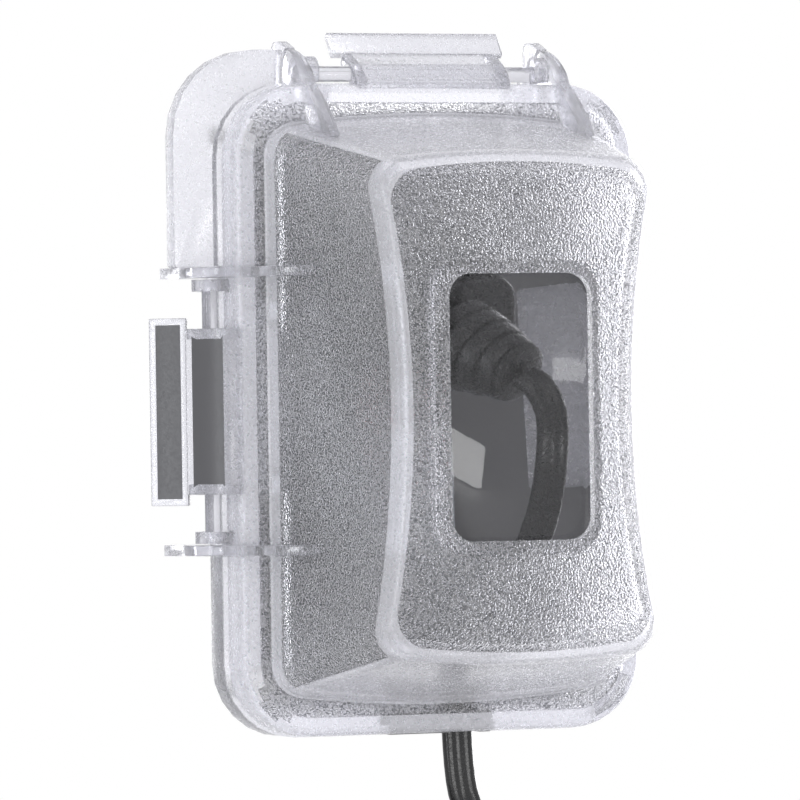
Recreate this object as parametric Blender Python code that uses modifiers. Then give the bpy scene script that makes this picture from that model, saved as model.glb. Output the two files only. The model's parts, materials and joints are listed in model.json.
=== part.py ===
"""A one-gang weatherproof receptacle in its clear in-use cover, with a plug and cord in it.

Metres, +Z up. The origin is the centre of the face that lies on the wall, +Y goes into
the wall and -Y comes out of it. X is to the right as the cover is looked at.
"""

import math

import bmesh
import bpy
from mathutils import Matrix, Vector

MM = 0.001

# Driving dimensions, in millimetres until they are multiplied by MM.
COVER_HALF_W = 50.0
COVER_HALF_H = 75.0
CORNER_R = 17.0
GASKET_T = 2.7
BASE_BACK = -3.0
BASE_FLOOR = -5.6
BASE_FRONT = -11.0
BASE_HALF_W = 51.0
BASE_HALF_H = 75.3
EXT_LEFT = -60.5
EXT_TOP = 83.2
EXT_FRONT = -8.0
EXT_R = 20.0
LID_BACK = -11.3
FLANGE_BACK = -17.5
FLANGE_FRONT = -20.0
SKIRT_T = 2.4
DOME_HALF_W = 42.0
DOME_HALF_H = 65.0
FACE_FRONT = -67.0
WALL_T = 2.5
WINDOW_HALF_W = 17.45
WINDOW_HALF_H = 30.1
WINDOW_R = 5.3
EAR_IN = 30.6
EAR_OUT = 33.0
LUG_IN = 27.5
LUG_OUT = 30.2
FLAP_HALF = 19.0
LIP_HALF = 21.5
CHEEK_T = 2.4
PIN_R = 1.8
PIN_HALF = 30.2
PIN_Y = -12.5
TOP_PIN_OUT = 2.4
SIDE_SHIFT = 1.5
FACE_HALF_W = 16.65
FACE_HALF_H = 33.3
DEVICE_FRONT = -11.0
SLOT_Z = (22.6, -15.4)
BLADE_X = 6.35
CORD_D = 7.1
COIL_CENTRE = (-8.0, -12.5, -142.0)
COIL_INNER_R = 32.2
COIL_OUTER_R = 44.6
COIL_WIDTH = 15.0
LUG_R = 4.1
EAR_R = 6.66
RIM_T = 4.6
NOTCH_HALF = 23.4
NOTCH_Z = 67.0
LIP_TIP = {"top": (-5.9, 12.4), "side": (-3.4, 14.0)}
PORT_HALF = 13.0
LID_PORT_Y = -17.4
INSERT_HALF_W = 38.4
INSERT_HALF_H = 57.5
INSERT_FRONT = -8.1
INSERT_BACK = -5.9
GROUND_DROP = 11.9
BUTTON_X = (("test_button", -5.2), ("reset_button", 5.2))
BUTTON_Z = -1.6
LENS_Z = -1.6
FACE_CORNER_W = 34.2
FACE_CORNER_H = 56.8
WAIST = 4.7
CORD_EXIT = (6.0, -12.5, -75.0)
RELIEF = ((2.9, -41.7, 11.5), (7.3, -49.9, 6.9))
CORD_ROUTE = [
    (7.9, -51.1, 6.2),
    (9.6, -54.2, 4.0),
    (11.2, -56.4, -1.4),
    (11.4, -56.2, -9.0),
    (11.0, -53.0, -20.0),
    (9.6, -46.0, -31.5),
    (8.2, -35.5, -43.0),
    (7.0, -24.0, -52.0),
    (6.2, -15.6, -59.8),
    (6.0, -12.8, -67.5),
    (6.0, -12.5, -77.0),
    (7.0, -12.5, -88.0),
    (9.4, -12.5, -94.5),
]
TAIL_ROUTE = [
    (5.6, -12.5, -116.6),
    (8.4, -12.5, -121.0),
    (8.6, -12.5, -126.0),
    (6.8, -12.5, -131.0),
]
TIE_ANGLE = 100.0
WALL_SCREWS = [(40.0, 63.0), (-40.0, 63.0), (-40.0, -63.0), (40.0, -63.0)]

COLOURS = {
    "frosted": ((0.80, 0.81, 0.84), 0.45, 0.0),
    "clear": ((0.88, 0.89, 0.92), 0.08, 0.0),
    "smoky": ((0.35, 0.36, 0.38), 0.05, 0.0),
    "grey": ((0.26, 0.26, 0.27), 0.5, 0.0),
    "foam": ((0.60, 0.60, 0.62), 0.95, 0.0),
    "white": ((0.74, 0.75, 0.77), 0.35, 0.0),
    "black": ((0.02, 0.02, 0.02), 0.35, 0.0),
    "red": ((0.55, 0.06, 0.05), 0.4, 0.0),
    "green": ((0.05, 0.45, 0.12), 0.35, 0.0),
    "zinc": ((0.62, 0.62, 0.60), 0.35, 1.0),
    "brass": ((0.72, 0.52, 0.22), 0.3, 1.0),
    "board": ((0.05, 0.25, 0.12), 0.5, 0.0),
    "copper": ((0.72, 0.35, 0.18), 0.3, 1.0),
}


def clear_scene():
    for obj in list(bpy.data.objects):
        bpy.data.objects.remove(obj, do_unlink=True)


def collection(name):
    made = bpy.data.collections.new(name)
    bpy.context.scene.collection.children.link(made)
    return made


def material(name):
    colour, roughness, metallic = COLOURS[name]
    made = bpy.data.materials.get(name)
    if made is None:
        made = bpy.data.materials.new(name)
        made.use_nodes = True
        shader = made.node_tree.nodes["Principled BSDF"]
        shader.inputs["Base Color"].default_value = (*colour, 1.0)
        shader.inputs["Roughness"].default_value = roughness
        shader.inputs["Metallic"].default_value = metallic
        made.diffuse_color = (*colour, 1.0)
    return made


clear_scene()
PARTS = collection("in_use_cover")
CUTTERS = collection("cutters")


def add_mesh(name, bm, finish):
    """Links a bmesh as an object of the model; its place is still in its vertices."""
    mesh = bpy.data.meshes.new(name)
    bmesh.ops.recalc_face_normals(bm, faces=bm.faces)
    bm.to_mesh(mesh)
    bm.free()
    mesh.materials.append(material(finish))
    obj = bpy.data.objects.new(name, mesh)
    PARTS.objects.link(obj)
    return obj


def box(name, low, high, finish, bevel=0.0):
    """A box between two corners in millimetres, its edges bevelled by a modifier."""
    size = [(high[k] - low[k]) * MM for k in range(3)]
    middle = [(high[k] + low[k]) * MM / 2 for k in range(3)]
    bm = bmesh.new()
    bmesh.ops.create_cube(bm, size=1.0)
    bmesh.ops.scale(bm, vec=size, verts=bm.verts)
    obj = add_mesh(name, bm, finish)
    obj.location = middle
    if bevel:
        rounding = obj.modifiers.new("rounding", "BEVEL")
        rounding.width = bevel * MM
        rounding.segments = 2
    return obj


def rod(name, start, end, radius, finish, sides=24, radius_end=None):
    """A round bar or taper between two points in millimetres."""
    start = Vector(start) * MM
    end = Vector(end) * MM
    along = end - start
    bm = bmesh.new()
    bmesh.ops.create_cone(
        bm,
        cap_ends=True,
        segments=sides,
        radius1=radius * MM,
        radius2=(radius if radius_end is None else radius_end) * MM,
        depth=along.length,
    )
    obj = add_mesh(name, bm, finish)
    obj.rotation_mode = "QUATERNION"
    obj.rotation_quaternion = along.to_track_quat("Z", "Y")
    obj.location = (start + end) / 2
    return obj


def arc(centre, radius, start, end, steps):
    """Points on an arc, angles in degrees, in the plane of the outline."""
    turns = [math.radians(start + (end - start) * k / steps) for k in range(steps + 1)]
    return [(centre[0] + radius * math.cos(a), centre[1] + radius * math.sin(a)) for a in turns]


def rounded(points, radii, steps=6):
    """A closed outline through corner points, each corner rounded by its radius."""
    outline = []
    count = len(points)
    for k, radius in enumerate(radii):
        corner = Vector(points[k])
        if not radius:
            outline.append(tuple(corner))
            continue
        back = (Vector(points[k - 1]) - corner).normalized()
        ahead = (Vector(points[(k + 1) % count]) - corner).normalized()
        half = back.angle(ahead) / 2
        middle = corner + (back + ahead).normalized() * (radius / math.sin(half))
        first = corner + back * (radius / math.tan(half)) - middle
        last = corner + ahead * (radius / math.tan(half)) - middle
        turn = first.angle_signed(last)
        for j in range(steps + 1):
            swing = Matrix.Rotation(-turn * j / steps, 2)
            outline.append(tuple(middle + swing @ first))
    return outline


def round_rect(half_w, half_h, radius, centre=(0.0, 0.0), steps=6):
    x, z = centre
    corners = [
        (x + half_w, z - half_h),
        (x + half_w, z + half_h),
        (x - half_w, z + half_h),
        (x - half_w, z - half_h),
    ]
    return rounded(corners, [radius] * 4, steps)


def slab(name, outlines, low, high, finish, plane="XZ"):
    """A flat plate: the first outline with the others as holes, filled and extruded.

    plane XZ runs from y = high to y = low, plane YZ from x = low to x = high, and
    plane XY from z = low to z = high. The filled curve is made a welded mesh.
    """
    data = bpy.data.curves.new(name, "CURVE")
    data.dimensions = "2D"
    data.fill_mode = "BOTH"
    data.extrude = (high - low) * MM / 2
    for outline in outlines:
        spline = data.splines.new("POLY")
        spline.points.add(len(outline) - 1)
        spline.use_cyclic_u = True
        for point, (u, v) in zip(spline.points, outline, strict=True):
            point.co = (u * MM, v * MM, 0.0, 1.0)
    drawn = bpy.data.objects.new(name + "_outline", data)
    bpy.context.scene.collection.objects.link(drawn)
    middle = (high + low) / 2 * MM
    place = {
        "XZ": Matrix.Translation((0, middle, 0)) @ Matrix.Rotation(math.pi / 2, 4, "X"),
        "YZ": Matrix.Translation((middle, 0, 0)) @ Matrix(
            ((0, 0, 1, 0), (1, 0, 0, 0), (0, 1, 0, 0), (0, 0, 0, 1))
        ),
        "XY": Matrix.Translation((0, 0, middle)),
    }[plane]
    bpy.context.view_layer.update()
    graph = bpy.context.evaluated_depsgraph_get()
    flat = bpy.data.meshes.new_from_object(drawn.evaluated_get(graph))
    bm = bmesh.new()
    bm.from_mesh(flat)
    bmesh.ops.remove_doubles(bm, verts=bm.verts, dist=0.01 * MM)
    bmesh.ops.transform(bm, matrix=place, verts=bm.verts)
    obj = add_mesh(name, bm, finish)
    bpy.data.objects.remove(drawn, do_unlink=True)
    bpy.data.meshes.remove(flat)
    return obj


JOINED = {}
CUT_AWAY = {}


def set_aside(groups, target, other):
    """Keeps a body as an operand of target, in a collection that its Boolean will read."""
    if target.name not in groups:
        kind = "joined" if groups is JOINED else "cut_away"
        groups[target.name] = bpy.data.collections.new(f"{target.name}_{kind}")
        CUTTERS.children.link(groups[target.name])
    for holder in other.users_collection:
        holder.objects.unlink(other)
    groups[target.name].objects.link(other)
    other.hide_render = True
    other.display_type = "WIRE"


def join(target, other):
    set_aside(JOINED, target, other)


def cut(target, other):
    set_aside(CUT_AWAY, target, other)


def add_booleans():
    """One exact union and then one exact difference on each object that has operands."""
    for groups, operation in ((JOINED, "UNION"), (CUT_AWAY, "DIFFERENCE")):
        for name, group in groups.items():
            step = bpy.data.objects[name].modifiers.new(group.name, "BOOLEAN")
            step.operation = operation
            step.solver = "EXACT"
            step.operand_type = "COLLECTION"
            step.collection = group


def smooth_round(obj, degrees=35):
    obj.data.shade_smooth()
    obj.data.set_sharp_from_angle(angle=math.radians(degrees))


# ---------------------------------------------------------------- the hinges

def hinge_slab(name, side, outline, low, high, finish):
    """A plate square to a hinge's axis; outline points are (y, distance out from the edge).

    The top edge's hinge runs along X, and the left edge's along Z, a little further out.
    """
    if side == "top":
        points = [(y, COVER_HALF_H + out) for y, out in outline]
        return slab(name, [points], low, high, finish, "YZ")
    points = []
    for y, out in outline:
        points.append((-COVER_HALF_W - out - (SIDE_SHIFT if out > 0.4 else 0.0), y))
    return slab(name, [points], low, high, finish, "XY")


def hinge_rod(name, side, low, high, radius, finish, sides=32):
    """A round bar on a hinge's axis."""
    if side == "top":
        z = COVER_HALF_H + TOP_PIN_OUT
        return rod(name, (low, PIN_Y, z), (high, PIN_Y, z), radius, finish, sides)
    x = -COVER_HALF_W - TOP_PIN_OUT - SIDE_SHIFT
    return rod(name, (x, PIN_Y, low), (x, PIN_Y, high), radius, finish, sides)


def hinge_pins():
    for side, name in (("top", "top_hinge_pin"), ("side", "side_latch_pin")):
        smooth_round(hinge_rod(name, side, -PIN_HALF, PIN_HALF, PIN_R, "clear", 24))


def add_hinge_lugs(base, side):
    """Two rear blocks behind the lid's ears, and two lugs that carry the pin."""
    block = [(-0.4, -4.0), (-0.4, 9.0), (-1.6, 10.3), (-4.4, 10.3), (-10.6, 8.0), (-10.6, -4.0)]
    lug = arc((PIN_Y, TOP_PIN_OUT), LUG_R, 0.0, 210.0, 14)
    lug += [(-11.2, 0.5), (-9.5, 0.5), (-9.5, -3.0), (-4.0, -3.0), (-4.0, 2.0)]
    for sign, end in ((-1, "low"), (1, "high")):
        low, high = sorted((sign * EAR_IN, sign * EAR_OUT))
        join(base, hinge_slab(f"{side}_block_{end}", side, block, low, high, "clear"))
        scallop = hinge_rod(
            f"{side}_scallop_{end}", side, low - 0.35, high + 0.35, EAR_R + 0.35, "clear", 48
        )
        cut(base, scallop)
        low, high = sorted((sign * LUG_IN, sign * LUG_OUT))
        join(base, hinge_slab(f"{side}_lug_{end}", side, lug, low, high, "clear"))
        bore = hinge_rod(f"{side}_bore_{end}", side, low - 0.2, high + 0.2, PIN_R + 0.3, "clear")
        cut(base, bore)


def add_lid_hinge(lid, side):
    """The lid's ears, its finger flap with a flared lip, and the cheeks that ride the pin."""
    ear = arc((PIN_Y, TOP_PIN_OUT), EAR_R, -10.0, 64.0, 8)
    ear += [(-13.4, 7.2), (-16.0, 6.0), (-18.6, 4.3), (-20.8, 2.4), (-22.2, 0.0)]
    ear += [(-25.5, -2.3), (-29.5, -5.3), (-34.0, -9.6), (-36.6, -12.9), (-19.0, -14.0)]
    ear += [(-17.0, -1.5), (-11.4, -1.5)]
    for sign, end in ((-1, "low"), (1, "high")):
        low, high = sorted((sign * EAR_IN, sign * EAR_OUT))
        join(lid, hinge_slab(f"{side}_ear_{end}", side, ear, low, high, "clear"))
    flap = [(-19.7, -1.2), (-19.7, 0.5), (-18.4, 2.3), (-15.8, 4.5), (-12.6, 6.3), (-9.6, 7.5)]
    lip = [(-9.8, 7.3), LIP_TIP[side], (LIP_TIP[side][0] + 1.3, LIP_TIP[side][1] - 0.95), (-8.3, 6.2)]
    inner = [(-8.3, 6.2), (-12.2, 4.75), (-15.0, 3.0), (-17.0, 0.9), (-17.4, -1.2)]
    join(lid, hinge_slab(f"{side}_flap", side, flap + inner, -FLAP_HALF, FLAP_HALF, "clear"))
    join(lid, hinge_slab(f"{side}_lip", side, lip, -LIP_HALF, LIP_HALF, "clear"))
    cheek = [(-19.0, -1.5), (-19.0, 0.9), (-15.8, 4.0), (-12.6, 5.8), (-9.6, 7.0)]
    cheek += [(-8.4, 5.6), (-8.4, 1.4), (-11.3, 1.4), (-11.4, -1.5)]
    for sign, end in ((-1, "low"), (1, "high")):
        low, high = sorted((sign * (FLAP_HALF - CHEEK_T), sign * (FLAP_HALF - 0.05)))
        join(lid, hinge_slab(f"{side}_cheek_{end}", side, cheek, low, high, "clear"))
        seat_r = PIN_R + 0.3
        mouth = [(PIN_Y, TOP_PIN_OUT - seat_r), (-6.0, TOP_PIN_OUT - seat_r)]
        mouth += [(-6.0, TOP_PIN_OUT + seat_r), (PIN_Y, TOP_PIN_OUT + seat_r)]
        cut(lid, hinge_rod(f"{side}_seat_{end}", side, low - 0.4, high + 0.4, seat_r, "clear"))
        cut(lid, hinge_slab(f"{side}_mouth_{end}", side, mouth, low - 0.4, high + 0.4, "clear"))
        low, high = sorted((sign * (LUG_IN - 0.35), sign * (LUG_OUT + 0.35)))
        relief = hinge_rod(f"{side}_relief_{end}", side, low, high, LUG_R + 0.4, "clear", 48)
        cut(lid, relief)


# ---------------------------------------------------------------- the wall side

def wall_gasket():
    outer = round_rect(45.4, 69.0, 8.0, (0.0, -1.0))
    inner = round_rect(30.0, 54.5, 4.0, (0.0, -1.5), 3)
    gasket = slab("wall_gasket", [outer, inner], -GASKET_T, 0.0, "foam")
    for k, (x, z) in enumerate(WALL_SCREWS):
        cut(gasket, rod(f"gasket_hole_{k}", (x, 5, z), (x, -10, z), 2.6, "foam", 16))


def back_plate():
    """The base: a shallow tray with a raised rim, an L round one corner, and lugs."""
    outline = round_rect(BASE_HALF_W, BASE_HALF_H, CORNER_R)
    base = slab("back_plate", [outline], BASE_FRONT, BASE_BACK, "frosted")
    shelf = [(EXT_LEFT, 33.0), (EXT_LEFT, EXT_TOP), (-33.0, EXT_TOP), (-33.0, 60.0), (-44.0, 33.0)]
    shelf = rounded(shelf, [1.0, EXT_R, 1.0, 0.0, 0.0])
    join(base, slab("corner_shelf", [shelf], EXT_FRONT, BASE_BACK - 0.05, "frosted"))
    half_w = BASE_HALF_W - RIM_T
    half_h = BASE_HALF_H - RIM_T
    notch = NOTCH_HALF
    tray = [(half_w, -half_h), (half_w, half_h), (notch + 3.0, half_h), (notch + 3.0, NOTCH_Z - 3.0)]
    tray += [(-notch - 3.0, NOTCH_Z - 3.0), (-notch - 3.0, half_h), (-half_w, half_h), (-half_w, -half_h)]
    tray = rounded(tray, [12.0, 12.0, 1.5, 1.5, 1.5, 1.5, 12.0, 12.0], 5)
    cut(base, slab("tray_cut", [tray], BASE_FRONT - 1.0, BASE_FLOOR, "frosted"))
    swing = round_rect(notch, 10.0, 1.0, (0.0, NOTCH_Z + 10.0), 3)
    cut(base, slab("lip_notch", [swing], BASE_FRONT - 1.0, 0.0, "frosted"))
    for side in ("top", "side"):
        add_hinge_lugs(base, side)
    opening = round_rect(24.0, 50.0, 3.0, (0.0, 0.0), 3)
    cut(base, slab("device_opening", [opening], -9.0, 0.0, "frosted"))
    for k, (x, z) in enumerate(WALL_SCREWS):
        cut(base, rod(f"base_hole_{k}", (x, 5, z), (x, -10, z), 2.6, "frosted", 16))
    port = [(-PORT_HALF, -80.0), (PORT_HALF, -80.0), (PORT_HALF, -68.0), (-PORT_HALF, -68.0)]
    cut(base, slab("port_cut", [port], BASE_FRONT - 1.0, BASE_FLOOR - 1.6, "frosted"))


def insert_plate():
    """The grey adapter that closes the base round the device, and the clips at its edges."""
    outline = round_rect(INSERT_HALF_W, INSERT_HALF_H, 3.0, (0.0, 0.0), 3)
    hole = round_rect(FACE_HALF_W + 0.4, FACE_HALF_H + 0.4, 1.0, (0.0, 0.0), 2)
    plate = slab("insert_plate", [outline, hole], INSERT_FRONT, INSERT_BACK, "grey")
    for sign, end in ((-1, "left"), (1, "right")):
        x = sign * (INSERT_HALF_W - 5.0)
        recess = round_rect(6.5, 16.5, 0.5, (x, 3.0), 2)
        cut(plate, slab(f"clip_recess_{end}", [recess], -9.5, -4.0, "grey"))
        x0, x1 = sorted((sign * 38.8, sign * 42.6))
        foot, hook = sorted((sign * 36.4, sign * 40.0))
        clip = box(f"insert_clip_{end}", (x0, -11.4, -17.0), (x1, -5.9, 23.0), "white")
        for z in (-19.0, 21.0):
            low, high = (foot, -11.4, z), (hook, -8.6, z + 4.0)
            join(clip, box(f"clip_hook_{end}_{z:.0f}", low, high, "white"))


def wall_screws():
    for k, (x, z) in enumerate(WALL_SCREWS):
        screw(f"wall_screw_{k + 1}", (x, BASE_FLOOR - 0.3, z), 4.0, 2.2, 1.9, 17.0, "zinc")


def screw(name, seat, head_r, head_h, shank_r, shank_l, finish, facing=(0, -1, 0)):
    """A pan-head screw whose head sits on seat and faces away from the work."""
    seat = Vector(seat)
    facing = Vector(facing)
    head = rod(name, seat, seat + facing * head_h, head_r, finish, 20, head_r * 0.8)
    shank = rod(name + "_shank", seat + facing * 0.5, seat - facing * shank_l, shank_r, finish, 12)
    join(head, shank)
    middle = seat + facing * head_h
    size = [abs(facing[k]) * 1.6 + (1 - abs(facing[k])) * 0.5 for k in range(3)]
    size[0 if abs(facing[0]) < 0.5 else 2] = head_r * 1.2
    low = [middle[k] - size[k] / 2 * (2 if abs(facing[k]) > 0.5 else 1.0) for k in range(3)]
    high = [middle[k] + size[k] / 2 * (1.0 if abs(facing[k]) > 0.5 else 1.0) for k in range(3)]
    cut(head, box(name + "_slot", low, high, finish))
    return head


def cord_port_seal():
    """A rubber block in the bottom rim; the cord leaves through its right slot."""
    low = (-PORT_HALF + 0.3, LID_PORT_Y + 0.6, -75.2)
    high = (PORT_HALF - 0.3, BASE_FLOOR - 1.9, -70.0)
    seal = box("cord_port_seal", low, high, "black")
    x, y = CORD_EXIT[:2]
    cut(seal, rod("cord_hole", (x, y, -60), (x, y, -80), CORD_D / 2 + 0.3, "black", 24))
    mouth_low = (x - CORD_D / 2 - 0.3, -20.0, -80.0)
    cut(seal, box("cord_mouth", mouth_low, (x + CORD_D / 2 + 0.3, y, -60.0), "black"))


# ---------------------------------------------------------------- the receptacle

def device_strap():
    middle = round_rect(17.0, 35.5, 1.0, (0.0, 0.0), 2)
    strap = slab("device_strap", [middle], -1.6, -0.3, "zinc")
    ends = round_rect(12.0, 52.5, 2.0, (0.0, 0.0), 2)
    join(strap, slab("strap_ends", [ends], -1.55, -0.35, "zinc"))
    window = round_rect(13.0, 30.0, 1.0, (0.0, 0.0), 2)
    cut(strap, slab("strap_window", [window], -5.0, 5.0, "zinc"))
    for z in (-41.65, 41.65):
        cut(strap, rod(f"strap_hole_{z:.0f}", (0, 3, z), (0, -5, z), 2.1, "zinc", 16))


def strap_screws():
    for name, z in (("strap_screw_top", 41.65), ("strap_screw_bottom", -41.65)):
        screw(name, (0.0, -1.9, z), 3.6, 2.0, 1.7, 20.0, "zinc")


def receptacle_face():
    """The decorator face: a shell with slots, ground holes and a pocket for the buttons."""
    outline = round_rect(FACE_HALF_W, FACE_HALF_H, 1.5, (0.0, 0.0), 3)
    face = slab("receptacle_face", [outline], DEVICE_FRONT, -1.9, "white")
    hollow = round_rect(14.2, 31.0, 1.0, (0.0, 0.0), 2)
    cut(face, slab("face_hollow", [hollow], DEVICE_FRONT + 2.5, 0.0, "white"))
    for k, z in enumerate(SLOT_Z):
        for side, x, half in (("neutral", -BLADE_X, 4.4), ("hot", BLADE_X, 3.9)):
            low = (x - 1.1, -14.0, z - half)
            cut(face, box(f"{side}_slot_{k}", low, (x + 1.1, -5.0, z + half), "white"))
        ground = (0.0, -14.0, z - GROUND_DROP)
        cut(face, rod(f"ground_slot_{k}", ground, (0.0, -5.0, ground[2]), 2.7, "white", 16))
    for name, x in BUTTON_X:
        low = (x - 4.5, -14.0, BUTTON_Z - 3.2)
        cut(face, box(f"{name}_pocket", low, (x + 4.5, -5.0, BUTTON_Z + 3.2), "white"))
    cut(face, rod("lens_hole", (12.0, -14, LENS_Z), (12.0, -5, LENS_Z), 1.5, "white", 16))


def receptacle_body():
    """The rear housing in the wall box, open at the front, with the terminals' windows."""
    body = box("receptacle_body", (-21.0, 0.1, -34.5), (21.0, 26.0, 34.5), "black", 1.5)
    cut(body, box("body_hollow", (-18.5, -3.0, -32.0), (18.5, 23.5, 32.0), "black"))


def buttons():
    for name, x in BUTTON_X:
        low = (x - 4.1, -12.2, BUTTON_Z - 2.8)
        high = (x + 4.1, -8.0, BUTTON_Z + 2.8)
        cap = box(name, low, high, "black" if name == "test_button" else "red", 0.4)
        stem = rod(name + "_stem", (x, -8.3, BUTTON_Z), (x, -3.0, BUTTON_Z), 1.4, "black", 12)
        join(cap, stem)
    lens = rod("status_lens", (12.0, -11.2, LENS_Z), (12.0, -7.0, LENS_Z), 1.2, "green", 16)
    smooth_round(lens)


def terminals():
    places = [
        ("terminal_screw_line_hot", (21.3, 12.0, 17.0), (1, 0, 0), "brass"),
        ("terminal_screw_load_hot", (21.3, 12.0, -17.0), (1, 0, 0), "brass"),
        ("terminal_screw_line_neutral", (-21.3, 12.0, 17.0), (-1, 0, 0), "zinc"),
        ("terminal_screw_load_neutral", (-21.3, 12.0, -17.0), (-1, 0, 0), "zinc"),
    ]
    body = bpy.data.objects["receptacle_body"]
    for name, seat, facing, finish in places:
        screw(name, seat, 3.4, 1.8, 1.6, 4.4, finish, facing)
        inside = (seat[0] - facing[0] * 6.0, seat[1], seat[2])
        cut(body, rod(name + "_hole", inside, seat, 1.9, "black", 12))
    seat = (-8.0, 8.0, -34.8)
    screw("ground_screw", seat, 3.2, 1.8, 1.5, 4.0, "green", (0, 0, -1))
    cut(body, rod("ground_screw_hole", (seat[0], seat[1], -29.0), seat, 1.8, "black", 12))


def inner_works():
    """Contacts, the trip circuit's board, its sensing coil and its solenoid."""
    for name, x, finish in (("neutral_contact", -1, "brass"), ("hot_contact", 1, "brass")):
        x0, x1 = sorted((x * 7.5, x * 8.5))
        strip = box(name, (x0, 1.6, -24.0), (x1, 10.6, 27.5), finish)
        for z in (-20.0, 0.0, 20.0):
            b0, b1 = sorted((x * 8.2, x * 12.0))
            join(strip, box(f"{name}_tab_{z:.0f}", (b0, 8.6, z - 3), (b1, 9.6, z + 3), finish))
    strip = box("ground_contact", (-2.4, 2.2, -31.0), (2.4, 3.0, 14.0), "zinc")
    join(strip, box("ground_contact_tail", (-10.5, 2.4, -31.0), (-1.0, 2.8, -25.0), "zinc"))
    box("circuit_board", (-17.0, 16.0, -30.0), (17.0, 17.6, 30.0), "board")
    ring(
        "sensing_coil", (0.0, 12.6, 17.0), 4.0, 8.0, 5.0, "copper"
    )
    smooth_round(rod("trip_solenoid", (-3.0, 12.0, -24.0), (-3.0, 12.0, -8.0), 3.4, "copper", 20))


def ring(name, centre, inner_r, outer_r, width, finish, sides=32):
    """A ring about the Y axis, turned from a rounded section."""
    corner = min(outer_r - inner_r, width) * 0.28
    section = [
        (outer_r, -width / 2 + corner),
        (outer_r, width / 2 - corner),
        (outer_r - corner, width / 2),
        (inner_r + corner, width / 2),
        (inner_r, width / 2 - corner),
        (inner_r, -width / 2 + corner),
        (inner_r + corner, -width / 2),
        (outer_r - corner, -width / 2),
    ]
    bm = bmesh.new()
    verts = [bm.verts.new((r * MM, 0.0, h * MM)) for r, h in section]
    edges = [bm.edges.new((verts[k - 1], verts[k])) for k in range(len(verts))]
    bmesh.ops.spin(
        bm,
        geom=verts + edges,
        cent=(0, 0, 0),
        axis=(0, 0, 1),
        angle=2 * math.pi,
        steps=sides,
        use_merge=True,
    )
    bmesh.ops.remove_doubles(bm, verts=bm.verts, dist=0.01 * MM)
    obj = add_mesh(name, bm, finish)
    obj.rotation_euler = (math.pi / 2, 0, 0)
    obj.location = Vector(centre) * MM
    smooth_round(obj)
    return obj


# ---------------------------------------------------------------- the lid

def bowed_ring(half_w, half_h, bow_w, bow_h, radius):
    """A rectangle with round corners whose sides bow out (or in) at their middles."""
    points = []
    corners = [(1, 1, 0.0), (-1, 1, 90.0), (-1, -1, 180.0), (1, -1, 270.0)]
    for k, (sx, sz, turn) in enumerate(corners):
        centre = (sx * (half_w - radius), sz * (half_h - radius))
        points += arc(centre, radius, turn, turn + 90.0, 4)
        steps = 6 if k % 2 == 0 else 8
        reach = (half_w - radius) if k % 2 == 0 else (half_h - radius)
        for j in range(1, steps):
            t = 1 - 2 * j / steps
            if k % 2 == 0:
                points.append((sx * t * reach, sz * (half_h + bow_h * (1 - t * t))))
            else:
                points.append((sx * (half_w + bow_w * (1 - t * t)), sz * t * reach))
    return points


def loft(name, sections, finish):
    """A closed solid through outlines of equal counts, given as (y, outline)."""
    bm = bmesh.new()
    rings = []
    for y, outline in sections:
        rings.append([bm.verts.new((x * MM, y * MM, z * MM)) for x, z in outline])
    for near, far in zip(rings, rings[1:], strict=False):
        for k in range(len(near)):
            bm.faces.new((near[k - 1], near[k], far[k], far[k - 1]))
    bm.faces.new(rings[0])
    bm.faces.new(list(reversed(rings[-1])))
    return add_mesh(name, bm, finish)


def dome(name, inset, back, finish):
    """The lid's dome, from the flange to its waisted face; inset makes the inner space."""
    sections = [
        (back, bowed_ring(DOME_HALF_W - inset, DOME_HALF_H - inset, 0.0, 2.2, 7.0)),
        (
            FACE_FRONT + 5.5,
            bowed_ring(FACE_CORNER_W - inset, FACE_CORNER_H - inset, -WAIST, 1.5, 7.0 - inset),
        ),
    ]
    for step, draw_in in ((3.4, 0.4), (1.4, 1.5), (0.35, 3.0), (0.0, 4.2)):
        half_w = FACE_CORNER_W - draw_in - inset
        half_h = FACE_CORNER_H - draw_in - inset
        outline = bowed_ring(half_w, half_h, -WAIST, 1.5, 7.5 - inset)
        sections.append((FACE_FRONT + inset + step, outline))
    return loft(name, sections, finish)


def lid_shell():
    """Flange, skirt, dome, hinge ears and flaps in one moulding, with its window's hole."""
    outline = round_rect(COVER_HALF_W, COVER_HALF_H, CORNER_R, steps=8)
    lid = slab("lid_shell", [outline], FLANGE_FRONT, LID_BACK, "frosted")
    join(lid, dome("dome_outside", 0.0, FLANGE_FRONT + 1.2, "frosted"))
    for side in ("top", "side"):
        add_lid_hinge(lid, side)
    pocket = round_rect(COVER_HALF_W - SKIRT_T, COVER_HALF_H - SKIRT_T, CORNER_R - SKIRT_T)
    cut(lid, slab("skirt_cut", [pocket], FLANGE_BACK, LID_BACK + 2.0, "frosted"))
    cut(lid, dome("dome_inside", WALL_T, FLANGE_BACK + 1.0, "frosted"))
    window = round_rect(WINDOW_HALF_W, WINDOW_HALF_H, WINDOW_R)
    cut(lid, slab("window_cut", [window], FACE_FRONT - 2.0, FACE_FRONT + 6.0, "frosted"))
    slot = arc((33.0, -58.0), 15.2, -70.0, -20.0, 8)
    slot += arc((33.0, -58.0), 12.2, -20.0, -70.0, 8)
    cut(lid, slab("lock_slot", [slot], FLANGE_FRONT - 1.0, FLANGE_BACK + 1.0, "frosted"))
    half = PORT_HALF + 0.3
    port = [(-half, -80.0), (half, -80.0), (half, -70.0), (-half, -70.0)]
    cut(lid, slab("lid_port_cut", [port], LID_PORT_Y, LID_BACK + 2.0, "frosted"))
    return lid


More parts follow.
